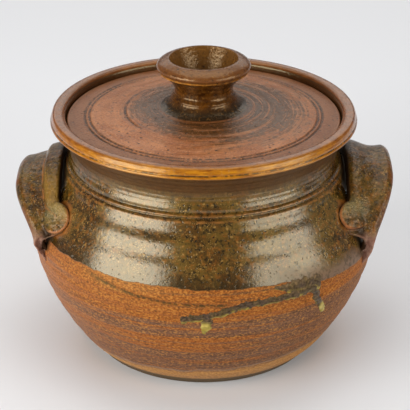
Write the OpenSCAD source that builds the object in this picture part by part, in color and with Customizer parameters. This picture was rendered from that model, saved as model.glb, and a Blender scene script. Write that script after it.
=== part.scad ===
// Lidded stoneware casserole: a thrown pot with two pulled strap handles,
// and a thrown lid with a hollow knob that drops into a gallery inside the rim.
// The origin is the middle of the foot, on the surface that the pot stands on.

/* [Foot and belly] */
// Radius of the foot where it stands
foot_radius = 79.5; // [76:0.5:82]
// Width of the ring that the pot stands on
foot_ring_width = 14; // [8:1:24]
// Depth of the turned hollow under the base
base_recess = 2.5; // [1:0.5:4]
// Radius at the top of the turned bevel above the foot
bevel_radius = 90.5; // [87:0.5:94]
// Height of the turned bevel above the foot
bevel_height = 12; // [8:0.5:16]
// Largest radius of the belly
belly_radius = 121; // [117:0.5:125]
// Height of the widest part of the belly
belly_height = 86; // [80:1:92]
// Thickness of the thrown wall
wall = 6.5; // [5:0.5:8]
// Thickness of the base over the hollow
base_thickness = 8; // [6:0.5:11]

/* [Shoulder and neck] */
// How far the neck draws in from the upper shoulder groove
neck_draw = 2.5; // [1:0.5:4]
// Height of the upper shoulder groove
shoulder_height = 137; // [133:1:141]
// Height at which the neck starts to flare into the rim
flare_height = 157; // [154:0.5:159]
// Spacing of the two shoulder grooves along the shoulder
groove_spacing = 3.7; // [3:0.1:6]
// Radius of the tool tip that cut the grooves
groove_tip = 1.1; // [0.6:0.1:1.5]

/* [Rim and gallery] */
// Outer radius of the rim
rim_radius = 105.2; // [103:0.2:108]
// Height of the top of the rim
rim_height = 172.3; // [170:0.1:178]
// Radius of the rounded lip
lip_radius = 4.1; // [3.5:0.1:5]
// Width of the rim from its outer edge to the gallery wall
rim_width = 10.2; // [9.6:0.2:11.2]
// Width of the gallery ledge that carries the lid
ledge_width = 9; // [7.5:0.5:10]
// Depth of the gallery ledge below the top of the rim
gallery_depth = 10; // [8:0.5:11]

/* [Lid] */
// Play between the edge of the lid and the gallery wall
lid_play = 1; // [0.5:0.1:2]
// Thickness of the lid at its edge
lid_edge = 4.5; // [4:0.1:6]
// Rise of the lid from its edge to the seat of the knob
lid_rise = 7.5; // [5:0.5:12]
// Thickness of the lid at its middle
lid_thickness = 7; // [5:0.5:9]
// Distance of the outer lid groove from the edge of the lid
lid_groove_inset = 12.5; // [9:0.5:20]
// Spacing of the two lid grooves
lid_groove_spacing = 2.8; // [2.4:0.1:4]

/* [Knob] */
// Height of the knob above its seat
knob_height = 34; // [30:0.5:40]
// Radius of the foot of the knob
knob_foot_radius = 26; // [24:0.5:30]
// Radius of the collar above the foot of the knob
knob_collar_radius = 22.4; // [21.5:0.1:23.5]
// Radius of the waist of the knob
knob_waist_radius = 20.4; // [18:0.2:21]
// Outer radius of the lip of the knob
knob_lip_radius = 32.3; // [30:0.1:36]
// Radius of the mouth of the knob
knob_mouth_radius = 24.2; // [22:0.1:26]
// Depth of the hollow of the knob
knob_hollow = 22; // [16:0.5:25]

/* [Handles] */
// Gap between the inner edge of a strap and the shoulder
handle_gap = 4.5; // [4:0.5:6]
// Width of a strap at the top of its arch
handle_width = 30.5; // [26:0.5:34]
// How much narrower a strap is at its feet
foot_taper = 15; // [10:0.5:18]
// Thickness of a strap between its ridges
handle_thickness = 7.6; // [6:0.2:9]
// Height of the inner ridge above the strap
inner_ridge = 3.4; // [2:0.2:4.5]
// Height of the outer ridge above the strap
outer_ridge = 1.4; // [0.5:0.1:2.5]
// Distance between the feet of a handle, middle to middle
handle_span = 108; // [100:1:114]
// Height of the feet of a handle
handle_foot = 95; // [92:0.5:98]
// Rise of the arch above its feet
handle_rise = 40; // [37:0.5:43]
// Drop of the outer edge of the left arch below its inner edge
left_droop = 11.5; // [0:0.5:14]
// Drop of the outer edge of the right arch below its inner edge
right_droop = 1; // [0:0.5:14]
// Length of the tail below each foot
tail_length = 22; // [20:1:28]
// Radius of the thumb-pressed pad on each foot
pad_radius = 10; // [8:0.5:12]
// Height of the pad above the inner ridge
pad_raise = 2.4; // [1.5:0.1:3.5]
// Angle along the arch at which the pad lies
pad_at = 27; // [24:1:31]
// Turn of the pad towards the side
pad_turn = 25; // [15:1:35]
// Slip joint between a handle and the pot
joint_gap = 0.05; // [0.02:0.01:0.2]

/* [Roundings] */
// Rounding of the turned edges
edge_rounding = 1.5; // [0.8:0.1:2]
// Fillet in the corner of the gallery and round the pads
fillet = 2; // [1:0.1:3]

/* [Hidden] */
$fn = 96;
curve_steps = 14;
lip_steps = 12;

// Heights and radii that follow from the sizes above
ledge_height = rim_height - gallery_depth;
gallery_radius = rim_radius - rim_width;
throat_radius = gallery_radius - ledge_width;
neck_radius = throat_radius + wall;
shoulder_radius = neck_radius + neck_draw;
lip_centre = [rim_radius - lip_radius, rim_height - lip_radius];
floor_height = base_recess + base_thickness;
lid_radius = gallery_radius - lid_play;
lid_edge_height = ledge_height + lid_edge;
knob_seat = lid_edge_height + lid_rise;
strap_inside = shoulder_radius + handle_gap;
strap_outside = strap_inside + handle_width;
half_span = handle_span / 2;

// Fullness of the arch: 1 is half an ellipse, 2 is a parabola
arch_power = 1.25;

// Middles and half widths of the two ridges, as shares of the width of a strap
inner_ridge_middle = 0.2;
inner_ridge_reach = 0.24;
outer_ridge_middle = 0.86;
outer_ridge_reach = 0.2;

// Stretch of the arch over which a strap leaves the pot
landing_from = 15;
landing_to = 45;

// Point of a cubic curve through a and d, drawn towards b and c
function curve_point(a, b, c, d, t) =
    pow(1 - t, 3) * a + 3 * t * pow(1 - t, 2) * b + 3 * t * t * (1 - t) * c + pow(t, 3) * d;

// Points of that curve after its first one
function curve(a, b, c, d) =
    [for (i = [1:curve_steps]) curve_point(a, b, c, d, i / curve_steps)];

// Points of an arc
function arc(centre, radius, from, to) =
    [for (i = [0:lip_steps])
        let (angle = from + (to - from) * i / lip_steps)
        centre + radius * [cos(angle), sin(angle)]];

// Quarter of an edge rounding at a corner, from one direction to the next
function round_corner(corner, inward, radius, from, to) =
    arc(corner + radius * inward, radius, from, to);

function smooth_step(low, high, value) =
    let (t = min(1, max(0, (value - low) / (high - low))))
    t * t * (3 - 2 * t);

// Outer face of the pot from the foot to the inner edge of the rim
bevel_top = [bevel_radius, bevel_height];
belly = [belly_radius, belly_height];
shoulder = [shoulder_radius, shoulder_height];
flare = [shoulder_radius, flare_height];
lip_from = -100;
lip_under = lip_centre + lip_radius * [cos(lip_from), sin(lip_from)];
belly_below = [0, -0.32 * (belly_height - bevel_height)];
belly_above = [0, 0.16 * (shoulder_height - belly_height)];
bevel_slope = [0.46, 0.59] * (belly_radius - bevel_radius);
shoulder_slope = [0.31, -0.54] * (belly_radius - shoulder_radius);

function lower_belly() =
    curve(bevel_top, bevel_top + bevel_slope, belly + belly_below, belly);

function upper_belly() =
    curve(belly, belly + belly_above, shoulder + shoulder_slope, shoulder);

function neck_and_flare() =
    let (
        neck_pull = (4 * neck_radius - shoulder_radius) / 3,
        neck_length = flare_height - shoulder_height
    )
    concat(
        curve(shoulder, [neck_pull, shoulder_height + neck_length / 3],
            [neck_pull, flare_height - neck_length / 3], flare),
        curve(flare, flare + [0.25, 0.75] * lip_radius, lip_under - [0.75, 0.15] * lip_radius, lip_under)
    );

function outer_face() =
    concat(
        [[foot_radius, 0]],
        [bevel_top],
        lower_belly(),
        upper_belly(),
        neck_and_flare(),
        arc(lip_centre, lip_radius, lip_from, 90)
    );

// Inner face of the pot from the rim down to the middle of the floor
function inner_face() =
    let (
        throat = [throat_radius, ledge_height],
        throat_low = [throat_radius, shoulder_height + 0.6 * wall],
        belly_in = [belly_radius - wall, belly_height],
        floor_turn = [foot_radius - 2.5 * wall, floor_height]
    )
    concat(
        round_corner([gallery_radius, rim_height], [1, -1], edge_rounding, 90, 180),
        arc([gallery_radius - fillet, ledge_height + fillet], fillet, 0, -90),
        round_corner(throat, [1, -1], edge_rounding, 90, 180),
        [throat_low],
        curve(throat_low, throat_low - [0, wall], belly_in + 2 * belly_above, belly_in),
        curve(belly_in, belly_in + 1.7 * belly_below, floor_turn + [2.5 * wall, 0], floor_turn),
        [[0, floor_height]]
    );

// Ring-shaped cut that a round tool tip leaves in a turned face
module turned_groove(radius, height, tip) {
    rotate_extrude()
        translate([radius, height])
            circle(tip, $fn = 24);
}

// Everything inside the outer face of the pot, grown by a gap
module pot_envelope(gap) {
    rotate_extrude()
        polygon(concat(
            [[0, 0]],
            [for (p = outer_face()) p + [gap, 0]],
            [[0, rim_height]]
        ));
}

// Thrown pot with its foot, shoulder grooves, rim and gallery
module pot() {
    ring_inside = foot_radius - foot_ring_width;
    groove_step = groove_spacing * shoulder_slope / norm(shoulder_slope);
    lower_groove = shoulder + groove_step;
    color("#6e5a38")
    difference() {
        rotate_extrude()
            polygon(concat(
                [[0, base_recess], [ring_inside - base_recess, base_recess], [ring_inside, 0]],
                outer_face(),
                inner_face()
            ));
        turned_groove(shoulder_radius + 0.5 * groove_tip, shoulder_height, groove_tip);
        turned_groove(lower_groove[0] + 0.5 * groove_tip, lower_groove[1], groove_tip);
    }
}

// Rounding of the strap towards its two edges, 0 at an edge and 1 in the middle
function strap_edge(u) = pow(1 - pow(abs(2 * u - 1), 3), 1 / 3);

// Long ridge that is a share of the strap wide
function ridge(u, middle, reach) =
    let (x = (u - middle) / reach)
    abs(x) < 1 ? pow(1 - x * x, 2) : 0;

// Reach of the inner edge of the strap, drawn in towards the pot at the feet
function inner_reach(turn) =
    strap_inside - pad_radius * (1 - smooth_step(landing_from, landing_to, min(turn, 180 - turn)));

// Reach of the outer edge of the strap, which narrows to its feet and then to the tip of its tail
function outer_reach(turn, fall) =
    let (
        foot = strap_outside - foot_taper * pow(1 - sin(turn), 0.85),
        tip = sqrt(pow(belly_radius, 2) - pow(half_span, 2)) - wall / 2
    )
    foot + (tip - foot) * fall / tail_length;

// Middle of the strap and its outward direction at an angle along the arch, as [y, z]
function arch_middle(turn) =
    [-half_span * cos(turn), handle_foot + handle_rise * pow(sin(turn), arch_power)];

function arch_normal(turn) =
    let (face = [-arch_power * handle_rise * cos(turn), half_span * pow(sin(turn), 2 - arch_power)])
    face / norm(face);

// Point of the strap surface: along is 0 to 1 over the arch and runs past both ends down the tails,
// and angle goes once round the section
function strap_point(along, angle, droop) =
    let (
        u = (1 - cos(angle)) / 2,
        turn = 180 * min(1, max(0, along)),
        fall = tail_length * max(-along, along - 1, 0),
        inner = inner_reach(turn),
        reach = inner + (outer_reach(turn, fall) - inner) * u,
        top = handle_thickness / 2
            + inner_ridge * ridge(u, inner_ridge_middle, inner_ridge_reach)
            + outer_ridge * ridge(u, outer_ridge_middle, outer_ridge_reach),
        depth = strap_edge(u) * (sin(angle) >= 0 ? top : -handle_thickness / 2),
        place = arch_middle(turn) + depth * arch_normal(turn)
    )
    [reach, place[0], place[1] - fall - droop * u * sin(turn)];

// Closed skin over a list of rings with the same number of points each
module skin(rings) {
    count = len(rings[0]);
    last = len(rings) - 1;
    sides = [for (r = [0:last - 1], k = [0:count - 1])
        let (
            a = r * count + k,
            b = r * count + (k + 1) % count
        )
        each [[a, a + count, b], [b, a + count, b + count]]];
    caps = [
        [for (k = [0:count - 1]) k],
        [for (k = [count - 1:-1:0]) last * count + k]
    ];
    polyhedron([for (ring = rings) each ring], concat(sides, caps));
}

// Thumb-pressed disc on the foot of a strap, with a rounded edge
module pad() {
    depth = handle_thickness / 2 + inner_ridge + pad_raise;
    normal = arch_normal(pad_at);
    place = arch_middle(pad_at) + depth * normal;
    tilt = atan2(normal[1], -normal[0]);
    translate([strap_inside, place[0], place[1]])
        rotate([0, 0, pad_turn])
            rotate([90 - tilt, 0, 0])
                rotate_extrude()
                    polygon(concat(
                        [[0, -depth], [pad_radius - fillet, -depth]],
                        arc([pad_radius - fillet, -fillet], fillet, 0, 90),
                        [[0, 0]]
                    ));
}

// Pulled strap, arched from front to back, with a tail and a pressed pad at each foot
module strap_handle(droop) {
    section_points = 24;
    tail_rings = 8;
    arch_rings = 28;
    steps = concat(
        [for (i = [0:tail_rings - 1]) i / tail_rings - 1],
        [for (i = [0:arch_rings]) i / arch_rings],
        [for (i = [1:tail_rings]) 1 + i / tail_rings]
    );
    difference() {
        union() {
            skin([for (s = steps)
                [for (k = [0:section_points - 1]) strap_point(s, 360 * k / section_points, droop)]]);
            pad();
            mirror([0, 1, 0])
                pad();
        }
        pot_envelope(joint_gap);
    }
}

// Handle on the left of the pot, whose outer edge droops more
module left_handle() {
    color("#5c4a2c")
    mirror([1, 0, 0])
        strap_handle(left_droop);
}

// Handle on the right of the pot
module right_handle() {
    color("#5c4a2c")
    strap_handle(right_droop);
}

// Thrown lid with a low cone on top, resting on the gallery ledge
module lid() {
    edge_top = [lid_radius, lid_edge_height];
    seat_edge = [knob_foot_radius + fillet, knob_seat];
    hollow_edge = [throat_radius - wall / 2, ledge_height];
    hollow_top = [seat_edge[0], knob_seat - lid_thickness];
    groove_outer = lid_radius - lid_groove_inset;
    lid_slope = lid_rise / (lid_radius - seat_edge[0]);
    color("#8a5238")
    difference() {
        rotate_extrude()
            polygon(concat(
                [[0, hollow_top[1]], hollow_top, hollow_edge],
                [[lid_radius - edge_rounding, ledge_height], [lid_radius, ledge_height + edge_rounding]],
                round_corner(edge_top, [-1, -1], edge_rounding, 0, 90),
                [seat_edge, [0, knob_seat]]
            ));
        for (i = [0:1]) {
            radius = groove_outer - i * lid_groove_spacing;
            turned_groove(radius, lid_edge_height + lid_slope * (lid_radius - radius) + 0.5 * groove_tip,
                groove_tip);
        }
    }
}

// Hollow thrown knob standing on the middle of the lid
module lid_knob() {
    foot = [knob_foot_radius, knob_seat];
    collar = [knob_collar_radius, knob_seat + 0.11 * knob_height];
    waist = [knob_waist_radius, knob_seat + 0.32 * knob_height];
    side = [knob_lip_radius, knob_seat + 0.85 * knob_height];
    under = side - [0.04, 0.09] * knob_height;
    top = [(knob_lip_radius + knob_mouth_radius) / 2 - 0.03 * knob_height, knob_seat + knob_height];
    mouth = [knob_mouth_radius, knob_seat + 0.96 * knob_height];
    bottom = [0, knob_seat + knob_height - knob_hollow];
    bottom_edge = bottom + [0.33 * knob_mouth_radius, 0];
    color("#4a3018")
    rotate_extrude()
        polygon(concat(
            [[0, knob_seat], foot],
            curve(foot, foot + [-0.03, 0.045] * knob_height, collar + [0.015, -0.045] * knob_height, collar),
            curve(collar, collar + [0, 0.06] * knob_height, waist - [0, 0.09] * knob_height, waist),
            curve(waist, waist + [0, 0.18] * knob_height, under - [0.06, 0.06] * knob_height, under),
            curve(under, under + [0.024, 0.024] * knob_height, side - [0, 0.035] * knob_height, side),
            curve(side, side + [0, 0.08] * knob_height, top + [0.08, 0] * knob_height, top),
            curve(top, top - [0.045, 0] * knob_height, mouth + [0.012, 0.024] * knob_height, mouth),
            curve(mouth, mouth - [0.12, 0.2] * knob_height,
                bottom_edge + [0.2, 0] * knob_height, bottom_edge),
            [bottom]
        ));
}

pot();
left_handle();
right_handle();
lid();
lid_knob();
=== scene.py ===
import bisect
import math

import bmesh
import bpy
from mathutils import Matrix, Vector, noise


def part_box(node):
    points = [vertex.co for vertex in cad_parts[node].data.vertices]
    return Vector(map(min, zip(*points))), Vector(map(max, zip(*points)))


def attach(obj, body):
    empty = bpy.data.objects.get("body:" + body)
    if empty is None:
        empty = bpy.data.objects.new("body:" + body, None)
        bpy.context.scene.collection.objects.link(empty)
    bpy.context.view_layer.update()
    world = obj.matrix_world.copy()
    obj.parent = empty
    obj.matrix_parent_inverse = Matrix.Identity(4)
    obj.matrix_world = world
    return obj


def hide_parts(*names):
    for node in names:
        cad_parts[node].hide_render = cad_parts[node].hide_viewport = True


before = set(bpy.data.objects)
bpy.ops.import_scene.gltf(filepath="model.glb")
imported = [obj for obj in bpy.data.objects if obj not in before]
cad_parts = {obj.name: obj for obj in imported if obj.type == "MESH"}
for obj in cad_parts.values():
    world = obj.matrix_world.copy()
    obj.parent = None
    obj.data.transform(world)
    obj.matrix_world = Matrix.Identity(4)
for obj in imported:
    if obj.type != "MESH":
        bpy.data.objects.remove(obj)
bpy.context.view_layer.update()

MM = 0.001

# Sizes read from the solids, in millimetres
pot_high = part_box("pot")[1]
lid_low, lid_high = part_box("lid")
knob_low, knob_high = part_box("lid_knob")
strap_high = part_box("right_handle")[1]
belly_radius = pot_high.y / MM
rim_height = pot_high.z / MM
lid_radius = lid_high.x / MM
ledge_height = lid_low.z / MM
knob_seat = knob_low.z / MM
knob_top = knob_high.z / MM
knob_lip_radius = knob_high.x / MM
strap_outside = strap_high.x / MM

# Turned outline of the pot as radius and height, in millimetres
foot_radius = 79.5
foot_ring_width = 14
base_recess = 2.5
floor_height = 10.5
wall = 6.5
bevel_top = Vector((90.5, 12))
belly = Vector((belly_radius, 86))
shoulder = Vector((95, 137))
flare = Vector((95, 157))
neck_low = Vector((91.5, 147))
neck_high = Vector((90.9, 150))
lip_radius = 4.1
lip_centre = Vector((101.1, rim_height - lip_radius))
lip_from = -100
lip_low = Vector((105.2, rim_height - 6.2))
lip_high = Vector((104.1, rim_height - 2.7))
rim_rounding = 3.8
gallery_radius = 95
throat_radius = 86
fillet = 2
edge_rounding = 1.5

# Marks of the potter's tools on the pot, as heights in millimetres
shoulder_grooves = (137, 133.85)
shoulder_fillet = 135.4
neck_line = 155
rim_line = 167.5
broad_ring_valley = 126
broad_ring_spacing = 14

# Glaze edge: its height at the axis, and how much it falls for each millimetre to the right
glaze_edge = 94
glaze_edge_fall = 0.022

# Spiral groove under the glaze edge: its height at its right end, and how fast it rises to the left
residue_low = 83.6
residue_rise = 16.4

# Where the finish changes, in millimetres: first where a tone starts, then where it is full. The foot's tone
# is painted shade, and the bead's is a painted highlight. All but the last are heights, and the bead's
# painted highlight also fades and ends
foot_painted_shade = (8.6, 6.6)
neck_tone = (143, 151)
rim_amber = (164.6, 166.2)
rim_brown = (169.6, 172.2)
knob_lip_tone = (200, 201.5)
knob_skirt_tone = (181, 176)
knob_bead_painted_highlight = (197.6, 198.8, 200, 201)
rim_top_radius = (104.5, 101.2)

# Lid and knob, in millimetres
knob_foot_radius = 26
knob_collar_radius = 22.4
knob_waist_radius = 20.4
knob_mouth_radius = 22.8
knob_hollow = 22
lid_edge = 4.5
lid_thickness = 7
lid_grooves = (81.5, 78.7)
lid_border = (80, 83)
lid_scratch_radius = 54
lid_scratch_from = math.radians(-118)
lid_scratch_to = math.radians(-48)

# Handles, in millimetres and degrees
strap_inside = 99.5
half_span = 54
handle_foot = 95
handle_rise = 40
arch_power = 1.25
tail_length = 22
handle_thickness = 7.6
foot_taper = 15
pad_radius = 10
pad_depth = 9.6
pad_at = {-1: 27, 1: 29.5}
pad_shift = {-1: 0.4, 1: 1.6}
pad_swell = {-1: (1.08, 1.06), 1: (1.1, 0.94)}
pad_turn = 25
pad_sink = 3.4
landing_from = 15
landing_to = 45
roll_overhang = 2.2
tail_inside = 107.5
tail_lean = 0.5
tail_back = 0.25
crevice_depth = 5.5
crevice_start = Vector((105, -54, 104))
crevice_end = Vector((108, -55, 91))


def smooth_step(low, high, value):
    t = min(1.0, max(0.0, (value - low) / (high - low)))
    return t * t * (3 - 2 * t)


def stretch(value, start, full, fade, end):
    """Rises from start to full, and falls from fade to end."""
    return smooth_step(start, full, value) * (1 - smooth_step(fade, end, value))


def cut(value, middle, half_width):
    """Soft notch of depth 1 at its middle."""
    return math.exp(-(((value - middle) / half_width) ** 2))


def line(a, b, steps):
    return [a.lerp(b, i / steps) for i in range(1, steps + 1)]


def curve(a, b, c, d, steps, start=0.0, end=1.0):
    """Points of a cubic curve from a to d, drawn towards b and c, after its first one."""
    points = []
    for i in range(1, steps + 1):
        t = start + (end - start) * i / steps
        s = 1 - t
        points.append(s**3 * a + 3 * s * s * t * b + 3 * s * t * t * c + t**3 * d)
    return points


def arc(centre, radius, start, end, steps):
    points = []
    for i in range(steps + 1):
        angle = math.radians(start + (end - start) * i / steps)
        points.append(centre + radius * Vector((math.cos(angle), math.sin(angle))))
    return points


def azimuth(spot):
    """Angle round the axis: 0 at the front, and positive to the right."""
    return math.atan2(spot.x, -spot.y)


# Outlines

def pot_outer_face():
    lip_under = lip_centre + lip_radius * Vector(
        (math.cos(math.radians(lip_from)), math.sin(math.radians(lip_from))))
    bevel_slope = (belly.x - bevel_top.x) * Vector((0.46, 0.59))
    belly_below = Vector((0, -0.32 * (belly.y - bevel_top.y)))
    belly_above = Vector((0, 0.16 * (shoulder.y - belly.y)))
    shoulder_slope = (belly.x - shoulder.x) * Vector((0.31, -0.54))
    lip_top = lip_centre + Vector((0, lip_radius))
    upper = (belly, belly + belly_above, shoulder + shoulder_slope, shoulder)
    foot = Vector((foot_radius, 0))
    return (
        [Vector((foot_radius - 0.9, 0)), foot + Vector((0.5, 0.8))]
        + line(foot + Vector((0.5, 0.8)), bevel_top, 10)
        + curve(bevel_top, bevel_top + bevel_slope, belly + belly_below, belly, 100)
        + curve(*upper, 30, 0.0, 0.7)
        + curve(*upper, 40, 0.7, 1.0)
        + curve(shoulder, neck_low, neck_high, flare, 24)
        + curve(flare, flare + lip_radius * Vector((0.25, 0.75)),
                lip_under - lip_radius * Vector((0.75, 0.15)), lip_under, 10)
        + curve(lip_under, lip_under + Vector((2.8, -0.2)), lip_low - Vector((-0.3, 1.2)), lip_low, 10)
        + line(lip_low, lip_high, 8)
        + curve(lip_high, lip_high + Vector((-0.4, 1.7)), lip_top + Vector((1.9, 0)), lip_top, 12)
    )


def pot_inner_face():
    belly_in = Vector((belly.x - wall, belly.y))
    throat = Vector((throat_radius, ledge_height))
    throat_low = Vector((throat_radius, shoulder.y + 0.6 * wall))
    floor_turn = Vector((foot_radius - 2.5 * wall, floor_height))
    belly_below = Vector((0, -0.32 * (belly.y - bevel_top.y)))
    belly_above = Vector((0, 0.16 * (shoulder.y - belly.y)))
    return (
        arc(Vector((gallery_radius + rim_rounding, rim_height - rim_rounding)), rim_rounding, 90, 180, 10)
        + arc(Vector((gallery_radius - fillet, ledge_height + fillet)), fillet, 0, -90, 5)
        + arc(throat + Vector((edge_rounding, -edge_rounding)), edge_rounding, 90, 180, 4)
        + line(throat + Vector((0, -edge_rounding)), throat_low, 8)
        + curve(throat_low, throat_low - Vector((0, wall)), belly_in + 2 * belly_above, belly_in, 16)
        + curve(belly_in, belly_in + 1.7 * belly_below, floor_turn + Vector((2.5 * wall, 0)), floor_turn, 20)
        + line(floor_turn, Vector((0, floor_height)), 6)
    )


def pot_outline():
    ring_inside = foot_radius - foot_ring_width
    underside = [
        Vector((0, base_recess)),
        Vector((ring_inside / 2, base_recess)),
        Vector((ring_inside - base_recess, base_recess)),
        Vector((ring_inside, 0)),
    ]
    return underside + pot_outer_face() + pot_inner_face()


outer_face = pot_outer_face()
outer_heights = [p.y for p in outer_face if p.x > throat_radius or p.y < belly.y]
outer_radii = [p.x for p in outer_face if p.x > throat_radius or p.y < belly.y]


def outer_radius(z):
    """Radius of the pot's outer face at a height, up to the underside of its lip."""
    i = min(max(bisect.bisect_left(outer_heights, z), 1), len(outer_heights) - 1)
    low, high = outer_heights[i - 1], outer_heights[i]
    share = (z - low) / max(high - low, 1e-6)
    return outer_radii[i - 1] + (outer_radii[i] - outer_radii[i - 1]) * min(1.0, max(0.0, share))


def lid_outline():
    seat = Vector((knob_foot_radius + fillet, knob_seat))
    edge_top = Vector((lid_radius, ledge_height + lid_edge))
    rounding = edge_top - Vector((edge_rounding, edge_rounding))
    hollow_edge = Vector((throat_radius - wall / 2, ledge_height))
    hollow_top = Vector((seat.x, knob_seat - lid_thickness))
    return (
        [Vector((0, hollow_top.y))]
        + line(Vector((0, hollow_top.y)), hollow_top, 4)
        + line(hollow_top, hollow_edge, 24)
        + [Vector((lid_radius - edge_rounding, ledge_height))]
        + [Vector((lid_radius, ledge_height + edge_rounding))]
        + arc(rounding, edge_rounding, 0, 90, 5)
        + line(edge_top - Vector((edge_rounding, 0)), seat, 120)
        + line(seat, Vector((0, knob_seat)), 8)
    )


def knob_outline():
    height = knob_top - knob_seat
    skirt = Vector((knob_foot_radius + 5.5, knob_seat - 0.9))
    collar = Vector((knob_collar_radius, knob_seat + 0.2 * height))
    waist = Vector((knob_waist_radius - 0.4, knob_seat + 0.33 * height))
    side = Vector((knob_lip_radius, knob_seat + 0.84 * height))
    under = side - height * Vector((0.045, 0.08))
    top = Vector((knob_mouth_radius + 1.7, knob_top))
    mouth = Vector((knob_mouth_radius, knob_seat + 0.965 * height))
    bottom = Vector((0, knob_top - knob_hollow))
    bottom_edge = bottom + Vector((0.33 * knob_mouth_radius, 0))

    def part(a, b, c, d, steps):
        return curve(a, a + height * Vector(b), d + height * Vector(c), d, steps)

    return (
        [Vector((0, skirt.y)), skirt]
        + part(skirt, (-0.14, 0.02), (0.03, -0.09), collar, 18)
        + part(collar, (0, 0.03), (0, -0.03), waist, 16)
        + part(waist, (0, 0.2), (-0.07, -0.06), under, 30)
        + part(under, (0.024, 0.024), (0, -0.035), side, 10)
        + part(side, (0, 0.07), (0.1, -0.02), top, 14)
        + part(top, (-0.045, 0), (0.012, 0.024), mouth, 8)
        + part(mouth, (-0.12, -0.2), (0.2, 0), bottom_edge, 34)
        + line(bottom_edge, bottom, 6)
    )


# Shaping the clay

def turned(outline, steps):
    """Turns an outline once round the axis."""
    bm = bmesh.new()
    points = [bm.verts.new((r * MM, 0, z * MM)) for r, z in outline]
    edges = [bm.edges.new(pair) for pair in zip(points, points[1:])]
    bmesh.ops.spin(bm, geom=points + edges, cent=(0, 0, 0), axis=(0, 0, 1), angle=math.tau,
                   steps=steps, use_merge=True)
    bmesh.ops.remove_doubles(bm, verts=bm.verts, dist=1e-6)
    bmesh.ops.dissolve_degenerate(bm, edges=bm.edges, dist=1e-7)
    bmesh.ops.recalc_face_normals(bm, faces=bm.faces)
    return bm


def rolled(place_of, along_steps, round_steps):
    """Rolls a flat slab into a closed strap: place_of(along, angle) gives each point in millimetres."""
    bm = bmesh.new()
    bmesh.ops.create_grid(bm, x_segments=along_steps, y_segments=round_steps, size=1)
    for v in bm.verts:
        v.co = MM * place_of((v.co.x + 1) / 2, math.pi * (v.co.y + 1))
    bmesh.ops.remove_doubles(bm, verts=bm.verts, dist=1e-6)
    open_edges = [e for e in bm.edges if e.is_boundary]
    bmesh.ops.holes_fill(bm, edges=open_edges)
    bmesh.ops.recalc_face_normals(bm, faces=bm.faces)
    return bm


def as_object(name, bm):
    mesh = bpy.data.meshes.new(name)
    bm.to_mesh(mesh)
    bm.free()
    mesh.shade_smooth()
    made = bpy.data.objects.new(name, mesh)
    bpy.context.scene.collection.objects.link(made)
    return made


def mark(piece, name, value_of):
    """Stores a number on each point of a piece: value_of(place in millimetres)."""
    attribute = piece.data.attributes.new(name, "FLOAT", "POINT")
    for i, v in enumerate(piece.data.vertices):
        attribute.data[i].value = value_of(v.co / MM)


# Handle shape

def arch_middle(turn):
    """Middle of the strap at an angle along its arch, as depth and height."""
    return Vector((-half_span * math.cos(turn), handle_foot + handle_rise * math.sin(turn) ** arch_power))


def arch_normal(turn):
    along = -arch_power * handle_rise * math.cos(turn)
    up = half_span * math.sin(turn) ** (2 - arch_power)
    return Vector((along, up)).normalized()


def inner_reach(turn):
    """Inner edge of the strap: it lands on the pot under the pads, and stands clear of it along the tails."""
    landing = math.degrees(min(turn, math.pi - turn))
    landed = strap_inside - roll_overhang - pad_radius * (1 - smooth_step(landing_from, landing_to, landing))
    return landed + (tail_inside - landed) * (1 - smooth_step(8, 18, landing))


def outer_reach(turn, fall, taper, tail_power):
    """Outer edge of the strap: it draws in towards its feet over the angles of the taper."""
    landing = math.degrees(min(turn, math.pi - turn))
    foot = strap_outside - foot_taper * (1 - smooth_step(*taper, landing))
    tip = math.sqrt(belly.x**2 - half_span**2) - wall / 2
    return foot + (tip - foot) * (fall / tail_length) ** tail_power


class Strap:
    """What sets one handle apart from the other."""

    def __init__(self, side, droop, taper, tail_power, roll_height, roll_edge, lip_height, seed):
        self.side = side
        self.taper = taper
        self.tail_power = tail_power
        self.droop = droop
        self.roll_height = roll_height
        self.roll_edge = roll_edge
        self.lip_height = lip_height
        self.seed = seed
        self.sharp = min(1.0, 0.1 / (roll_edge[1] - roll_edge[0]))

    def top(self, u, landing):
        """Height of the upper face over the middle of the strap: a roll inside, a valley, and a raised edge.
        Under the pads it is set back, so that they overhang a crevice."""
        roll = self.roll_height * (1 - smooth_step(*self.roll_edge, u))
        crease = -0.5 * self.sharp * cut(u, self.roll_edge[1], 0.02)
        lip = self.lip_height * cut(u, 0.88, 0.1)
        crevice = 1 - smooth_step(math.radians(3), math.radians(15), landing)
        crevice *= 1 - smooth_step(0.4, 0.8, u)
        return handle_thickness / 2 + roll + crease + lip - crevice_depth * crevice

    def point(self, along, angle):
        """Point of the strap: along is 0 to 1 from the tip of one tail to the tip of the other."""
        step = 3 * along - 1
        u = (1 - math.cos(angle)) / 2
        turn = math.pi * min(1.0, max(0.0, step))
        fall = tail_length * max(-step, step - 1, 0)
        inner = inner_reach(turn) - tail_lean * fall
        reach = inner + (outer_reach(turn, fall, self.taper, self.tail_power) - inner) * u
        power = 5 if u < 0.5 else 3
        rounding = (1 - abs(2 * u - 1) ** power) ** (1 / power)
        landing = min(turn, math.pi - turn)
        depth = rounding * (self.top(u, landing) if math.sin(angle) >= 0 else -handle_thickness / 2)
        depth *= 1 - 0.6 * fall / tail_length
        middle = arch_middle(turn) + depth * arch_normal(turn)
        lean = -tail_back * fall * arch_normal(turn).x
        spot = Vector((reach, middle.x + lean, middle.y - fall - self.droop * u * math.sin(turn)))
        dent = 0.6 * noise.noise(spot / 14 + Vector((self.seed, 0, 0)))
        spot.z += dent * rounding
        spot.x *= self.side
        return spot


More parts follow.
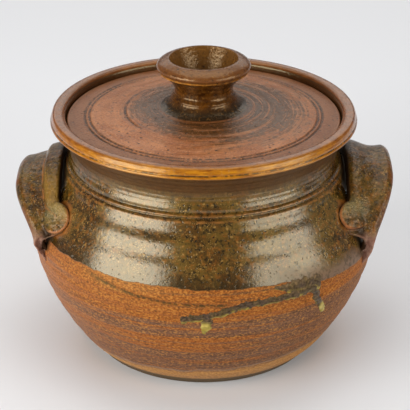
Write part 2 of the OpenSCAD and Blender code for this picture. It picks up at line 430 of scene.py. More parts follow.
def pad_frame(side, front):
    """Place and tilt of a thumb-pressed pad, in millimetres."""
    turn = math.radians(pad_at[side])
    normal = arch_normal(turn)
    middle = arch_middle(turn) + pad_depth * normal
    tilt = math.atan2(normal.y, -normal.x)
    made = (
        Matrix.Translation((strap_inside + pad_shift[side], middle.x, middle.y))
        @ Matrix.Rotation(math.radians(pad_turn), 4, "Z")
        @ Matrix.Rotation(math.pi / 2 - tilt, 4, "X")
    )
    return Matrix.Diagonal((side, front, 1, 1)) @ made


def pressed_pad(side, front):
    """Disc of clay with the hollow that a thumb left, and a lip pushed up round it."""
    hollow = Vector((0, -0.5))
    lip = Vector((pad_radius - 1.4, 0))
    outline = (
        [hollow]
        + curve(hollow, hollow + Vector((4, 0)), lip - Vector((2.6, 0.1)), lip, 10)
        + arc(Vector((pad_radius - 1.4, -1.6)), 1.6, 90, 0, 6)[1:]
        + line(Vector((pad_radius + 0.2, -1.6)), Vector((pad_radius - 0.4, -pad_depth)), 5)
        + line(Vector((pad_radius - 0.4, -pad_depth)), Vector((0, -pad_depth)), 3)
    )
    bm = turned(outline, 48)
    for v in bm.verts:
        spot = v.co / MM
        shift = Vector((7 * side, 3 * front, 0))
        angle = math.atan2(spot.y, spot.x)
        uneven = 0.15 * noise.noise(shift + Vector((math.cos(angle), math.sin(angle), 0)))
        v.co.x *= pad_swell[side][0] + uneven
        v.co.y *= pad_swell[side][1] + uneven
        v.co.z -= MM * pad_sink * smooth_step(0, 1, spot.x / pad_radius)
        v.co.z += MM * (0.4 * noise.noise(spot / 5 + shift) + 0.3 * noise.noise(spot / 1.6 + shift) - 0.2)
    bmesh.ops.transform(bm, matrix=Matrix.Scale(MM, 4) @ pad_frame(side, front) @ Matrix.Scale(1 / MM, 4),
                        verts=bm.verts)
    bmesh.ops.recalc_face_normals(bm, faces=bm.faces)
    return bm


def melded(rough, grain, passes):
    """One skin over clay pieces that were pressed together, smoothed as a wet thumb does."""
    meld = rough.modifiers.new("meld", "REMESH")
    meld.mode = "VOXEL"
    meld.voxel_size = grain * MM
    thumb = rough.modifiers.new("thumb", "SMOOTH")
    thumb.factor = 0.5
    thumb.iterations = passes
    seen = rough.evaluated_get(bpy.context.evaluated_depsgraph_get())
    mesh = bpy.data.meshes.new_from_object(seen)
    rough.modifiers.clear()
    rough.data = mesh
    mesh.shade_smooth()
    return rough


def strap_handle(name, strap):
    bm = rolled(strap.point, 150, 64)
    for front in (1, -1):
        pad = pressed_pad(strap.side, front)
        mesh = bpy.data.meshes.new("pad")
        pad.to_mesh(mesh)
        pad.free()
        bm.from_mesh(mesh)
        bpy.data.meshes.remove(mesh)
    handle = melded(as_object(name, bm), 0.7, 2)
    pads = [pad_frame(strap.side, front) for front in (1, -1)]

    def across(spot):
        turn = math.acos(min(1.0, max(-1.0, -spot.y / (half_span + 4))))
        inner = inner_reach(turn)
        return (abs(spot.x) - inner) / (outer_reach(turn, 0, strap.taper, 1) - inner)

    def on_pad_edge(spot):
        """The lip of a pad is bare on the pot's side and below."""
        best = 0.0
        for pad in pads:
            local = pad.inverted() @ spot
            away = (spot - pad.translation) / pad_radius
            bare = smooth_step(-0.1, 0.5, -0.75 * strap.side * away.x - 0.65 * away.z)
            rim = cut(math.hypot(local.x, local.y), pad_radius, 0.75) * smooth_step(-7, -1, local.z)
            best = max(best, rim * bare)
        return best

    def on_crease(spot):
        broken = smooth_step(-0.35, 0.1, noise.noise(spot / 7))
        line_there = cut(across(spot), strap.roll_edge[1], 0.014) * smooth_step(104, 114, spot.z)
        return strap.sharp**2 * broken * line_there

    def on_outer_edge(spot):
        return smooth_step(0.8, 1.0, across(spot)) * smooth_step(-0.3, 0.3, noise.noise(spot / 9))

    def pad_painted_highlight(spot):
        """Painted highlight: the pad is palest on its upper, outer part."""
        best = 0.0
        for pad in pads:
            local = pad.inverted() @ spot
            away = (spot - pad.translation) / pad_radius
            upper = smooth_step(-0.5, 0.7, 0.5 * strap.side * away.x + 0.85 * away.z)
            there = cut(math.hypot(local.x, local.y), 0, pad_radius - 1) * smooth_step(-5, -3, local.z)
            best = max(best, min(1.0, 1.6 * there) * upper)
        return best

    def on_roll(spot):
        rolled_edge = 1 - smooth_step(*strap.roll_edge, across(spot))
        return strap.sharp * rolled_edge * stretch(spot.z, 112, 120, 128, 138)

    mark(handle, "pad", pad_painted_highlight)
    mark(handle, "roll", on_roll)
    mark(handle, "pad_edge", on_pad_edge)
    mark(handle, "crease", on_crease)
    mark(handle, "outer_edge", on_outer_edge)
    mark(handle, "crevice", crevice_shade_at)
    # Painted shade on the side that faces the pot and on the underside of the arch
    painted_shade_side = handle.data.attributes.new("pot_side", "FLOAT", "POINT")
    for i, v in enumerate(handle.data.vertices):
        spot = v.co / MM
        off_centre = Vector((0, spot.y / half_span, (spot.z - handle_foot) / handle_rise)).normalized()
        pot_side = smooth_step(0.35, 0.8, -strap.side * v.normal.x) * smooth_step(100, 112, spot.z)
        underside = smooth_step(0.3, 0.7, -off_centre.dot(v.normal)) * smooth_step(98, 108, spot.z)
        painted_shade_side.data[i].value = max(pot_side, underside)
    return handle


# Pot

def residue_at(angle, z):
    """Thin spiral groove under the glaze edge, where a little glaze stayed: 1 in its middle."""
    height = residue_low + residue_rise * (angle - 0.07) ** 2
    return cut(z, height, 1.2) * stretch(angle, -0.8, -0.55, 0.1, 0.18)


def pot_relief(angle, z):
    """What throwing and turning left on the outer face, in millimetres: never outwards of the solid."""
    climb = z + 3 * angle / math.tau
    sway = noise.noise(Vector((math.sin(angle), math.cos(angle), z / 22)))
    fine = 0.13 * (math.sin(math.tau * climb / 3.7 + 2 * sway) - 1)
    broad = 0.28 * (math.sin(math.tau * climb / 10.5 + 3 * sway) - 1)
    below = (fine + broad) * stretch(z, 13, 22, 83, 92) - 0.45 * residue_at(angle, z)
    rings = -0.42 * (1 + math.cos(math.tau * (climb - broad_ring_valley + 1.2 * sway) / broad_ring_spacing))
    above = rings * stretch(z, 92, 122, 127, 133)
    grooves = -sum(cut(z, height, 0.8) for height in shoulder_grooves) + 0.3 * cut(z, shoulder_fillet, 0.7)
    lines = -0.4 * cut(z, neck_line, 0.7) - 0.45 * cut(z, rim_line, 0.5)
    round_off = 0.3 * (math.sin(2 * angle + 0.7) - 1) * (1 - smooth_step(135, 155, z))
    neck_rings = 0.14 * (math.sin(math.tau * climb / 2.9 + 2 * sway) - 1) * stretch(z, 139, 143, 159, 164)
    return below + above + grooves + lines + neck_rings + round_off


pads_inverted = [pad_frame(side, front).inverted() for side in (1, -1) for front in (1, -1)]


def smear_at(spot):
    """How much slip was smeared over the pot beside the four pads, from 0 to 1."""
    best = 0.0
    for pad in pads_inverted:
        local = pad @ spot
        if local.z > -26:
            reach = pad_radius + 1.2 + 2.2 * noise.noise(spot / 6)
            best = max(best, 1 - smooth_step(reach, reach + 3, math.hypot(local.x, local.y)))
    return best


def crevice_shade_at(spot):
    """Painted shade: 1 in the crevice that each pad overhangs, where it is painted dark, 0 a little way from
    it.
    """
    near = Vector((abs(spot.x), -abs(spot.y), spot.z))
    near.y = min(near.y, crevice_start.y + 0.4 * (near.y - crevice_start.y))
    line_of = crevice_end - crevice_start
    share = min(1.0, max(0.0, (near - crevice_start).dot(line_of) / line_of.length_squared))
    away = (near - crevice_start - share * line_of).length
    return 1 - smooth_step(2, 6 - 3.5 * share, away)


def painted_shade_behind_strap(spot):
    """Painted shade: 1 on the shoulder in the narrow gap behind a handle, which is painted dark and given
    less gloss.
    """
    from_side = abs(abs(math.degrees(azimuth(spot))) - 90)
    return (1 - smooth_step(15, 19, from_side)) * stretch(spot.z, 110, 118, 131, 136)


def inside_wall(spot):
    """1 on the inner face of the pot and on its floor, 0 outside."""
    if spot.z < floor_height - 1:
        return 0.0
    if spot.z > ledge_height - 1:
        return 1.0 if math.hypot(spot.x, spot.y) < gallery_radius + 0.6 else 0.0
    return 1.0 if math.hypot(spot.x, spot.y) < outer_radius(spot.z) - wall / 2 else 0.0


def shape_pot():
    bm = turned(pot_outline(), 288)
    for v in bm.verts:
        spot = v.co / MM
        ring = math.hypot(spot.x, spot.y)
        if ring < 1:
            continue
        angle = azimuth(spot)
        if inside_wall(spot):
            marks = stretch(spot.z, 14, 24, 128, 140)
            shift = 0.35 * marks * math.sin(math.tau * (spot.z + 7 * angle / math.tau) / 7)
        elif spot.z < 1 or spot.z > rim_height - 1.2:
            shift = 0.0
        else:
            shift = pot_relief(angle, spot.z) + 0.7 * smear_at(spot)
        v.co.x *= 1 + shift / ring
        v.co.y *= 1 + shift / ring
    pot = as_object("thrown_pot", bm)

    def smear(spot):
        return smear_at(spot) if 80 <= spot.z <= 140 else 0.0

    def residue(spot):
        return residue_at(azimuth(spot), spot.z) if 70 <= spot.z <= 100 else 0.0

    mark(pot, "inside", inside_wall)
    mark(pot, "smear", smear)
    mark(pot, "residue", residue)
    mark(pot, "crevice", crevice_shade_at)
    mark(pot, "painted_shade_behind_strap", painted_shade_behind_strap)
    return pot


# Glaze that ran down the front

def on_pot(angle, z, lift):
    """Point on the pot's outer face, in millimetres, lifted off it."""
    ring = outer_radius(z) + pot_relief(angle, z) + lift
    return Vector((ring * math.sin(angle), -ring * math.cos(angle), z))


def glaze_strand(bm, lower_edge, route, width, thickness, seed):
    """Bead of glaze along a route of (degrees round the pot, height): width(share) is its width there."""
    points = [Vector((math.radians(a) * belly.x, z)) for a, z in route]
    lengths = [0.0]
    for a, b in zip(points, points[1:]):
        lengths.append(lengths[-1] + (b - a).length)

    def middle(share):
        at = min(max(share, 0.0), 1.0) * lengths[-1]
        i = min(max(bisect.bisect_left(lengths, at), 1), len(points) - 1)
        return points[i - 1].lerp(points[i], (at - lengths[i - 1]) / (lengths[i] - lengths[i - 1]))

    grid = bmesh.ops.create_grid(bm, x_segments=110, y_segments=24, size=1)
    for v in grid["verts"]:
        along, angle = (v.co.x + 1) / 2, math.pi * (v.co.y + 1)
        share = 0.5 - 0.5 * math.cos(math.pi * along)
        near = [middle(share + d) for d in (-0.08, -0.04, 0.0, 0.04, 0.08)]
        spot = sum(near, Vector((0, 0))) / len(near)
        ahead = middle(share + 0.06) - middle(share - 0.06)
        across = Vector((-ahead.y, ahead.x)).normalized()
        below = -across.y * math.cos(angle)
        ends = math.sqrt(max(0.0, 1 - (2 * along - 1) ** 6))
        ragged = 0.6 * noise.noise(Vector((spot.x / 5, spot.y / 5, seed + below)))
        ragged += 0.45 * noise.noise(Vector((spot.x / 1.6, spot.y / 1.6, seed + below)))
        half = width(share) / 2 * ends * (1 + ragged)
        spot = spot + across * half * math.cos(angle)
        lift = thickness * ends * (math.sin(angle) if angle < math.pi else 0.6 * math.sin(angle))
        v.co = MM * on_pot(spot.x / belly.x, spot.y, lift)
        v[lower_edge] = smooth_step(0.3, 0.8, below)


def shape_glaze_run():
    bm = bmesh.new()
    lower_edge = bm.verts.layers.float.new("lower_edge")
    spread = ((22, 91.5), (27, 90), (33, 88.4), (40, 87))
    strand = ((38, 85), (30, 83.9), (24.5, 83.4), (19, 83.2), (14, 82.8), (9.3, 81.4), (6.5, 79), (2.4, 75.4),
              (-3.5, 73), (-8.5, 71.8))
    right_drip = ((36, 86), (38.4, 75), (41.4, 66), (44, 58.5))
    front_drop = ((1.2, 74), (0.9, 69), (0.5, 64.5), (0, 60))
    glaze_strand(bm, lower_edge, spread, lambda s: 2.5 + 9 * smooth_step(0, 0.6, s), 0.3, 1)
    glaze_strand(bm, lower_edge, strand, lambda s: 6.6 - 1.4 * math.sin(math.pi * s), 0.5, 4)
    glaze_strand(bm, lower_edge, right_drip, lambda s: 6.6 - 3.0 * s, 0.45, 7)
    glaze_strand(bm, lower_edge, front_drop, lambda s: 9 - 6 * s, 0.6, 9)
    bmesh.ops.remove_doubles(bm, verts=bm.verts, dist=1e-6)
    bmesh.ops.holes_fill(bm, edges=[e for e in bm.edges if e.is_boundary])
    bmesh.ops.recalc_face_normals(bm, faces=bm.faces)
    run = as_object("glaze_run", bm)
    drops = (Vector((math.radians(0.4) * belly.x, 65)), Vector((math.radians(42.6) * belly.x, 64)))

    def pale(spot):
        flat = Vector((azimuth(spot) * belly.x, spot.z))
        return max(1 - smooth_step(3, 7.5, (flat - drop).length) for drop in drops)

    mark(run, "pale_drop", pale)
    return run


# Lid and knob

def shape_lid():
    bm = turned(lid_outline(), 288)
    for v in bm.verts:
        spot = v.co / MM
        ring = math.hypot(spot.x, spot.y)
        slope = (knob_seat - ledge_height - lid_edge) / (lid_radius - knob_foot_radius - fillet)
        top = min(knob_seat, ledge_height + lid_edge + slope * (lid_radius - ring))
        if ring < knob_foot_radius or ring > lid_radius - edge_rounding or spot.z < top - 1.5:
            continue
        angle = azimuth(spot)
        sway = noise.noise(Vector((spot.x / 30, spot.y / 30, 2)))
        turning = 0.05 * math.sin(math.tau * ring / 2.7 + 4 * sway)
        turning += 0.14 * math.sin(math.tau * ring / 9 + 5 * sway)
        turning *= stretch(ring, knob_foot_radius, 33, 74, 78)
        grooves = sum(0.9 * cut(ring, radius + 0.3 * sway, 0.75) for radius in lid_grooves)
        scratch = cut(ring, lid_scratch_radius + 0.8 * sway, 0.8)
        start, end = lid_scratch_from, lid_scratch_to
        scratch *= stretch(angle, start, start + 0.2, end - 0.15, end)
        v.co.z += MM * (turning - grooves - 0.9 * scratch - 0.3)
    return as_object("thrown_lid", bm)


def in_hollow(spot):
    """1 inside the knob's hollow, 0 on the rest of the knob."""
    rise = (spot.z - knob_top) / knob_hollow + 1
    limit = knob_waist_radius - 1.5 + rise * (knob_mouth_radius - knob_waist_radius + 2.3)
    return 1.0 if rise > -0.02 and math.hypot(spot.x, spot.y) < limit else 0.0


def shape_knob():
    bm = turned(knob_outline(), 160)
    for v in bm.verts:
        spot = v.co / MM
        ring = math.hypot(spot.x, spot.y)
        if ring < 1 or spot.z < knob_seat + 1:
            continue
        angle = azimuth(spot)
        share = (spot.z - knob_seat) / (knob_top - knob_seat)
        climb = spot.z + 2 * angle / math.tau
        rings = 0.18 * math.sin(math.tau * climb / 4.2) * stretch(share, 0.1, 0.2, 0.7, 0.8)
        bead = 0.9 * cut(share, 0.74, 0.02) - 0.4 * cut(share, 0.79, 0.02)
        shift = 0.0 if in_hollow(spot) else rings + bead - 0.25
        v.co.x *= 1 + shift / ring
        v.co.y *= 1 + shift / ring
    knob = as_object("thrown_knob", bm)
    mark(knob, "inside", in_hollow)
    return knob


# Materials

def linear(code):
    """sRGB hex to linear RGBA."""
    parts = [int(code[i:i + 2], 16) / 255 for i in (1, 3, 5)]
    return (*[p / 12.92 if p <= 0.04045 else ((p + 0.055) / 1.055) ** 2.4 for p in parts], 1.0)


def feed(tree, node, inputs):
    """Gives a node's inputs their links, numbers or hex colours. A node as a value means its result."""
    for key, value in inputs.items():
        if isinstance(value, bpy.types.Node):
            value = value.outputs[2 if value.bl_idname == "ShaderNodeMix" else 0]
        if isinstance(value, bpy.types.NodeSocket):
            tree.links.new(value, node.inputs[key])
        else:
            node.inputs[key].default_value = linear(value) if isinstance(value, str) else value


def add(tree, kind, inputs=None, **settings):
    """Adds a node with its settings and links."""
    made = tree.nodes.new("ShaderNode" + kind)
    for key, value in settings.items():
        setattr(made, key, value)
    feed(tree, made, inputs or {})
    return made


def stain(tree, colour, tone, value, start, full, strength=1.0):
    """Lays a tone over a colour, more of it as a value goes from start to full."""
    share = add(tree, "MapRange", {"Value": value, "From Min": start, "From Max": full, "To Max": strength})
    return add(tree, "Mix", {0: share, 6: colour, 7: tone}, data_type="RGBA")


def between(tree, value, start, full, fade, end, strength=1.0):
    """Rises as a value goes from start to full, and falls as it goes from fade to end."""
    rising = add(tree, "MapRange", {"Value": value, "From Min": start, "From Max": full, "To Max": strength})
    falling = add(tree, "MapRange", {"Value": value, "From Min": end, "From Max": fade})
    return add(tree, "Math", {0: rising, 1: falling}, operation="MULTIPLY")


def begin(name):
    """New material, its tree, and the place on the object in millimetres."""
    material = bpy.data.materials.new(name)
    material.use_nodes = True
    tree = material.node_tree
    spot = add(tree, "TexCoord").outputs["Object"]
    place = add(tree, "VectorMath", {0: spot, "Scale": 1 / MM}, operation="SCALE")
    return material, tree, place


def ash_glaze(tree, place):
    """Wood-ash glaze on iron clay: olive where it pooled, brown where thin, with rust, flecks and pinholes.
    Its finest grain and its pinholes are drawn as coarse as they need to be to show."""
    wobble = add(tree, "TexNoise", {"Vector": place, "Scale": 1 / 3, "Detail": 1})
    warp = {0: wobble.outputs["Color"], 1: (2.4, 2.4, 2.4), 2: place}
    warped = add(tree, "VectorMath", warp, operation="MULTIPLY_ADD")
    cloud = add(tree, "TexNoise", {"Vector": place, "Scale": 1 / 22, "Detail": 4, "Roughness": 0.6})
    mottle = add(tree, "TexNoise", {"Vector": place, "Scale": 1 / 3.4, "Detail": 4, "Roughness": 0.65})
    fine = add(tree, "TexNoise", {"Vector": place, "Scale": 1 / 0.8, "Detail": 2})
    pool = add(tree, "MapRange", {"Value": cloud, "From Min": 0.36, "From Max": 0.64},
               interpolation_type="SMOOTHSTEP")
    colour = add(tree, "Mix", {0: pool, 6: "#40260a", 7: "#5c4518"}, data_type="RGBA")

    # Rust and dark mottles, then cream grain in patches, flecks and pinholes
    colour = stain(tree, colour, "#7d4a16", mottle, 0.53, 0.64, 0.7)
    colour = stain(tree, colour, "#1b1206", mottle, 0.47, 0.38, 0.85)
    patch = add(tree, "TexNoise", {"Vector": place, "Scale": 1 / 9, "Detail": 3})
    patchy = add(tree, "MapRange", {"Value": patch, "From Min": 0.4, "From Max": 0.6})
    pale = add(tree, "MapRange", {"Value": fine, "From Min": 0.58, "From Max": 0.7, "To Max": 0.85})
    pale = add(tree, "Math", {0: pale, 1: patchy}, operation="MULTIPLY")
    colour = add(tree, "Mix", {0: pale, 6: colour, 7: "#a9854a"}, data_type="RGBA")
    flecks = add(tree, "TexVoronoi", {"Vector": warped, "Scale": 1 / 2.7})
    pick = {"Value": flecks.outputs["Color"], "From Min": 0.6, "From Max": 0.7, "To Max": 0.6}
    chosen = add(tree, "MapRange", pick)
    near = add(tree, "MapRange", {"Value": flecks.outputs["Distance"], "From Min": 0.38, "From Max": 0.16})
    fleck = add(tree, "Math", {0: chosen, 1: near}, operation="MULTIPLY")
    colour = add(tree, "Mix", {0: fleck, 6: colour, 7: "#a07a40"}, data_type="RGBA")
    holes = add(tree, "TexVoronoi", {"Vector": warped, "Scale": 1 / 2.9, "Randomness": 1.0})
    pit = add(tree, "MapRange", {"Value": holes.outputs["Distance"], "From Min": 0.26, "From Max": 0.12})
    colour = add(tree, "Mix", {0: pit, 6: colour, 7: "#191106"}, data_type="RGBA")
    height = add(tree, "Math", {0: pit, 1: -0.5, 2: mottle}, operation="MULTIPLY_ADD")
    height = add(tree, "Math", {0: fine, 1: 0.25, 2: height}, operation="MULTIPLY_ADD")
    return colour, height


def bare_clay(tree, place, z):
    """Iron stoneware toasted in the kiln: plum low down, orange near the glaze, in bands drawn by the wheel.
    The streaks are 2.4 mm high, the bands 9 mm, and the grain is as coarse as it needs to be to show."""
    long_place = add(tree, "VectorMath", {0: place, 1: (0.01, 0.01, 0.42)}, operation="MULTIPLY")
    wide_place = add(tree, "VectorMath", {0: place, 1: (0.003, 0.003, 0.11)}, operation="MULTIPLY")
    streak = add(tree, "TexNoise", {"Vector": long_place, "Scale": 1, "Detail": 6, "Roughness": 0.7})
    band = add(tree, "TexNoise", {"Vector": wide_place, "Scale": 1, "Detail": 2})
    drawn_out = add(tree, "VectorMath", {0: place, 1: (0.7, 0.7, 1.1)}, operation="MULTIPLY")
    grain = add(tree, "TexNoise", {"Vector": drawn_out, "Scale": 1 / 1.1, "Detail": 3})
    rise = {"Value": z, "From Min": 32, "From Max": 90, "To Min": -0.2, "To Max": 0.28}
    climb = add(tree, "MapRange", rise)
    wide = add(tree, "Math", {0: band, 1: 2.0}, operation="MULTIPLY")
    drift = add(tree, "Math", {0: streak, 1: 0.9, 2: wide}, operation="MULTIPLY_ADD")
    toast = add(tree, "Math", {0: drift, 1: climb}, operation="ADD")
    colour = stain(tree, "#6a4434", "#8d4a19", toast, 1.42, 1.56)
    colour = stain(tree, colour, "#4c2a1b", streak, 0.45, 0.38, 0.5)
    colour = stain(tree, colour, "#b87c36", grain, 0.53, 0.64, 0.6)
    colour = stain(tree, colour, "#391d0f", grain, 0.47, 0.37, 0.7)
    height = add(tree, "Math", {0: streak, 1: 0.8, 2: grain}, operation="MULTIPLY_ADD")
    return colour, height


def pot_stoneware():
    """Thrown stoneware, dipped in ash glaze to below its shoulder: a glossy top over a dry, toasted belly."""
    material, tree, place = begin("ash_glazed_stoneware")
    axes = add(tree, "SeparateXYZ", {0: place})
    x, y, z = axes.outputs
    glaze, glaze_height = ash_glaze(tree, place)
    clay, clay_height = bare_clay(tree, place, z)
    ragged = add(tree, "TexNoise", {"Vector": place, "Scale": 1 / 14, "Detail": 4})
    broken = add(tree, "TexNoise", {"Vector": place, "Scale": 1 / 3, "Detail": 3})

    # Painted sheen: the clay is paler towards the sides
    clay = stain(tree, clay, "#965f43", y, -85, -35, 0.4)

    # Turned foot: a tan band that widens to the right, over painted shade along its lower edge
    foot_line = add(tree, "Math", {0: x, 1: 0.06, 2: 15}, operation="MULTIPLY_ADD")
    foot_line = add(tree, "Math", {0: ragged, 1: 7, 2: foot_line}, operation="MULTIPLY_ADD")
    over_foot = add(tree, "Math", {0: z, 1: foot_line}, operation="SUBTRACT")
    tan_tone = stain(tree, "#9a6632", "#c48e4e", clay_height, 0.75, 1.05)
    clay = stain(tree, clay, tan_tone, over_foot, 1.5, -1.5, 0.85)
    pale_line = between(tree, over_foot, 0.4, 1.4, 1.8, 3.2, 0.4)
    clay = add(tree, "Mix", {0: pale_line, 6: clay, 7: "#a58a72"}, data_type="RGBA")
    # Painted shade along the foot's lower edge
    clay = stain(tree, clay, "#35260f", z, *foot_painted_shade, 0.9)

    # Glaze left in the spiral groove
    residue = add(tree, "Attribute", attribute_name="residue").outputs["Fac"]
    speckle = add(tree, "MapRange", {"Value": broken, "From Min": 0.36, "From Max": 0.54})
    left_there = add(tree, "Math", {0: residue, 1: speckle}, operation="MULTIPLY")
    clay = add(tree, "Mix", {0: left_there, 6: clay, 7: "#2f2010"}, data_type="RGBA")

    # Slip smeared round the pads fires orange
    smear = add(tree, "Attribute", attribute_name="smear").outputs["Fac"]
    glaze = stain(tree, glaze, "#8f5320", smear, 0, 1, 0.8)

    # Where the glaze ends: dark and thick at the front, slate to the right
    wander = add(tree, "TexNoise", {"Vector": place, "Scale": 1 / 26, "Detail": 5, "Roughness": 0.62})
    edge_line = add(tree, "Math", {0: x, 1: -glaze_edge_fall, 2: glaze_edge - 3.5}, operation="MULTIPLY_ADD")
    edge_line = add(tree, "Math", {0: wander, 1: 7, 2: edge_line}, operation="MULTIPLY_ADD")
    sag = add(tree, "MapRange", {"Value": x, "From Min": 52, "From Max": 84, "To Max": -6.5})
    edge_line = add(tree, "Math", {0: edge_line, 1: sag}, operation="ADD")
    over_edge = add(tree, "Math", {0: z, 1: edge_line}, operation="SUBTRACT")
    glazed = add(tree, "MapRange", {"Value": over_edge, "From Min": -0.4, "From Max": 0.4},
                 interpolation_type="SMOOTHSTEP")
    glaze = stain(tree, glaze, "#2a1a08", over_edge, 11, 1, 0.8)
    rightwards = add(tree, "MapRange", {"Value": x, "From Min": 44, "From Max": 74, "To Max": 0.85})
    slate_high = add(tree, "Math", {0: ragged, 1: 10, 2: over_edge}, operation="MULTIPLY_ADD")
    slate = add(tree, "MapRange", {"Value": slate_high, "From Min": 17, "From Max": 10})
    slate = add(tree, "Math", {0: slate, 1: rightwards}, operation="MULTIPLY")
    slate_tone = add(tree, "Mix", {0: speckle, 6: "#463329", 7: "#6d5142"}, data_type="RGBA")
    glaze = add(tree, "Mix", {0: slate, 6: glaze, 7: slate_tone}, data_type="RGBA")

    # Orange breaks on the fillet between the shoulder grooves and on the edge below, and a browner neck
    worn_through = add(tree, "MapRange", {"Value": broken, "From Min": 0.36, "From Max": 0.6, "To Max": 0.75})
    for height in (shoulder_fillet, shoulder_fillet - 3.4):
        ridge = between(tree, z, height - 1, height - 0.2, height + 0.2, height + 1)
        ridge = add(tree, "Math", {0: ridge, 1: worn_through}, operation="MULTIPLY")
        glaze = add(tree, "Mix", {0: ridge, 6: glaze, 7: "#96602a"}, data_type="RGBA")
    start, full = neck_tone
    neck = add(tree, "MapRange", {"Value": z, "From Min": start, "From Max": full, "To Max": 0.85})
    glaze = add(tree, "Mix", {0: neck, 6: glaze, 7: "#3a1705"}, data_type="RGBA")

    # Rim: amber outside, where the glaze ran thin over the iron, a broken dark line, and brown on top
    start, full = rim_amber
    amber = add(tree, "MapRange", {"Value": z, "From Min": start, "From Max": full, "To Max": 0.88})
    drawn = add(tree, "VectorMath", {0: place, 1: (0.12, 0.12, 0.9)}, operation="MULTIPLY")
    drawn_streak = add(tree, "TexNoise", {"Vector": drawn, "Scale": 1, "Detail": 5, "Roughness": 0.7})
    amber_tone = stain(tree, "#86480a", "#c58016", drawn_streak, 0.36, 0.66)
    brown_tone = stain(tree, "#6b3614", "#8c4f22", drawn_streak, 0.36, 0.66)
    frontwards = add(tree, "MapRange", {"Value": y, "From Min": -20, "From Max": -80, "To Min": 0.08})
    rim_tone = add(tree, "Mix", {0: frontwards, 6: brown_tone, 7: amber_tone}, data_type="RGBA")
    glaze = add(tree, "Mix", {0: amber, 6: glaze, 7: rim_tone}, data_type="RGBA")
    on_line = between(tree, z, rim_line - 0.7, rim_line - 0.2, rim_line + 0.2, rim_line + 0.7)
    kept_dark = add(tree, "MapRange", {"Value": broken, "From Min": 0.42, "From Max": 0.55, "To Max": 0.9})
    on_line = add(tree, "Math", {0: on_line, 1: kept_dark}, operation="MULTIPLY")
    glaze = add(tree, "Mix", {0: on_line, 6: glaze, 7: "#241405"}, data_type="RGBA")
    flat = add(tree, "CombineXYZ", {"X": x, "Y": y, "Z": 0.0})
    ring = add(tree, "VectorMath", {0: flat}, operation="LENGTH").outputs["Value"]
    start, full = rim_top_radius
    inwards = add(tree, "MapRange", {"Value": ring, "From Min": start, "From Max": full})
    start, full = rim_brown
    brown = add(tree, "MapRange", {"Value": z, "From Min": start, "From Max": full, "To Max": 0.9})
    brown = add(tree, "Math", {0: brown, 1: inwards}, operation="MULTIPLY")
    glaze = add(tree, "Mix", {0: brown, 6: glaze, 7: brown_tone}, data_type="RGBA")
    inside = add(tree, "Attribute", attribute_name="inside").outputs["Fac"]
    glaze = stain(tree, glaze, "#3f2713", inside, 0, 1, 0.8)

    # Glaze over clay, and painted shade in the crevices under and behind the handles
    covered = add(tree, "Math", {0: glazed, 1: inside}, operation="MAXIMUM")
    colour = add(tree, "Mix", {0: covered, 6: clay, 7: glaze}, data_type="RGBA")
    crevice = add(tree, "Attribute", attribute_name="crevice").outputs["Fac"]
    # Painted shade in the gap behind each strap
    behind = add(tree, "Attribute", attribute_name="painted_shade_behind_strap").outputs["Fac"]
    shaded = add(tree, "Math", {0: crevice, 1: behind}, operation="MAXIMUM")
    colour = add(tree, "Mix", {0: shaded, 6: colour, 7: "#23120a"}, data_type="RGBA")
    dry = add(tree, "Math", {0: clay_height, 1: 0.4}, operation="MULTIPLY")
    wet = add(tree, "Math", {0: glaze_height, 1: 0.8, 2: 0.5}, operation="MULTIPLY_ADD")
    height = add(tree, "Mix", {0: covered, 6: dry, 7: wet}, data_type="RGBA")
    bump = add(tree, "Bump", {"Height": height, "Distance": 0.2 * MM, "Strength": 1.0})

    # The gloss is less on the rim, and goes where the glaze is slate, under the rim and in the crevices
    below_rim = add(tree, "Math", {0: neck, 1: amber}, operation="SUBTRACT", use_clamp=True)
    rough = add(tree, "MapRange", {"Value": covered, "To Min": 0.55, "To Max": 0.25})
    drier = add(tree, "Math", {0: amber, 1: 0.65}, operation="MULTIPLY")
    for part, more in ((slate, 0.3), (below_rim, 0.45), (shaded, 0.75)):
        rough = add(tree, "Math", {0: part, 1: more, 2: rough}, operation="MULTIPLY_ADD", use_clamp=True)
        drier = add(tree, "Math", {0: drier, 1: part}, operation="MAXIMUM")
    glassy = add(tree, "Math", {0: covered, 1: drier}, operation="SUBTRACT", use_clamp=True)
    feed(tree, tree.nodes["Principled BSDF"], {
        "Base Color": colour, "Roughness": rough, "Normal": bump, "IOR": 1.56, "Specular Tint": "#f8dc8c",
        "Coat Weight": glassy, "Coat Normal": bump, "Coat IOR": 1.44, "Coat Roughness": 0.14})
    return material


